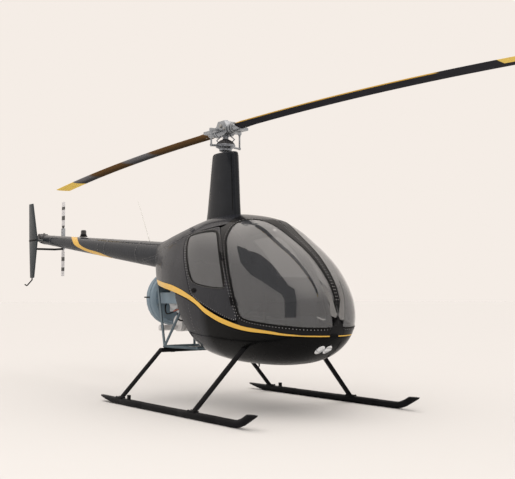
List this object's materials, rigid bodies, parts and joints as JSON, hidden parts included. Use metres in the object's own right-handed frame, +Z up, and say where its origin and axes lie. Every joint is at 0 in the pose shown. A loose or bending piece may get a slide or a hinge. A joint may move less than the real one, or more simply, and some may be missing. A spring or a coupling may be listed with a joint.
{
  "type": "light helicopter",
  "caption": "Light helicopter parked on skids: teetering main rotor on a tall faired mast, glazed cabin with hinged doors, open engine bay, tail cone with tail rotor and fins.",
  "frame": {"origin": "on the ground under the middle of the whole machine's bounding box", "axes": "+X forward to the nose, +Y to port (the pilot's left), +Z up"},
  "size_m": [8.4474, 1.92, 2.7984],
  "materials": {
    "gloss_black_paint": "gloss black paint with gold stripes",
    "tinted_glazing": "clear acrylic with a light grey tint",
    "satin_black_paint": "satin black powder coat",
    "primer_grey_steel": "blue-grey paint on steel tube",
    "blue_grey_shell": "blue-grey satin paint",
    "silver_metal": "bare machined and cast aluminium",
    "dark_casting": "dark grey satin on metal",
    "blade_paint": "matt black blade paint with a yellow tip",
    "tail_blade_paint": "white blade paint with black bands",
    "seat_leather": "dark grained leather",
    "cabin_plastic": "matt black lining",
    "lamp_glass": "clear lamp lens over a bright reflector",
    "exhaust_steel": "heat-tinted stainless steel",
    "white_plastic": "white glass-fibre rod"
  },
  "bodies": {
    "airframe": {"nose_belly_shell": "gloss_black_paint", "canopy_frame": "gloss_black_paint", "roof_cowl": "gloss_black_paint", "side_cowl_right": "gloss_black_paint", "side_cowl_left": "gloss_black_paint", "windshield_right": "tinted_glazing", "windshield_left": "tinted_glazing", "firewall": "cabin_plastic", "cabin_floor": "cabin_plastic", "seat_box": "cabin_plastic", "seat_cushion_right": "seat_leather", "seat_cushion_left": "seat_leather", "seat_back_right": "seat_leather", "seat_back_left": "seat_leather", "instrument_console": "cabin_plastic", "cyclic_t_bar": "satin_black_paint", "collective_lever": "satin_black_paint", "pedals": "satin_black_paint", "tail_cone": "gloss_black_paint", "tail_gearbox": "dark_casting", "horizontal_stabiliser": "gloss_black_paint", "upper_fin": "gloss_black_paint", "lower_fin": "gloss_black_paint", "tail_skid": "satin_black_paint", "tail_rotor_guard": "satin_black_paint", "strobe": "dark_casting", "whip_antenna": "white_plastic", "frame_tubes": "primer_grey_steel", "engine": "silver_metal", "fan_scroll": "blue_grey_shell", "exhaust": "exhaust_steel", "skid_right": "satin_black_paint", "skid_left": "satin_black_paint", "strut_front_right": "satin_black_paint", "strut_front_left": "satin_black_paint", "strut_rear_right": "satin_black_paint", "strut_rear_left": "satin_black_paint", "rear_cross_tube": "satin_black_paint", "mast_fairing": "gloss_black_paint", "landing_lamps": "lamp_glass"},
    "main_rotor": {"rotor_mast": "dark_casting", "rotor_hub": "silver_metal", "main_blade_front": "blade_paint", "main_blade_rear": "blade_paint"},
    "tail_rotor": {"tail_rotor_hub": "silver_metal", "tail_blade_upper": "tail_blade_paint", "tail_blade_lower": "tail_blade_paint"},
    "door_right": {"door_right": "gloss_black_paint", "door_glass_right": "tinted_glazing"},
    "door_left": {"door_left": "gloss_black_paint", "door_glass_left": "tinted_glazing"}
  },
  "joints": [
    {"name": "main_rotor_spin", "type": "hinge", "parent": "airframe", "child": "main_rotor", "pos_m": [0.405, 0, 2.7], "axis": [0, 0, 1], "continuous": true},
    {"name": "tail_rotor_spin", "type": "hinge", "parent": "airframe", "child": "tail_rotor", "pos_m": [-3.957, 0.297, 1.855], "axis": [0, 1, 0], "continuous": true},
    {"name": "door_right_hinge", "type": "hinge", "parent": "airframe", "child": "door_right", "pos_m": [1.267, -0.572, 1], "axis": [-0.4576, 0.0928, 0.8843], "range_deg": [0, 70]},
    {"name": "door_left_hinge", "type": "hinge", "parent": "airframe", "child": "door_left", "pos_m": [1.267, 0.572, 1], "axis": [0.4576, 0.0928, -0.8843], "range_deg": [0, 70]}
  ]
}
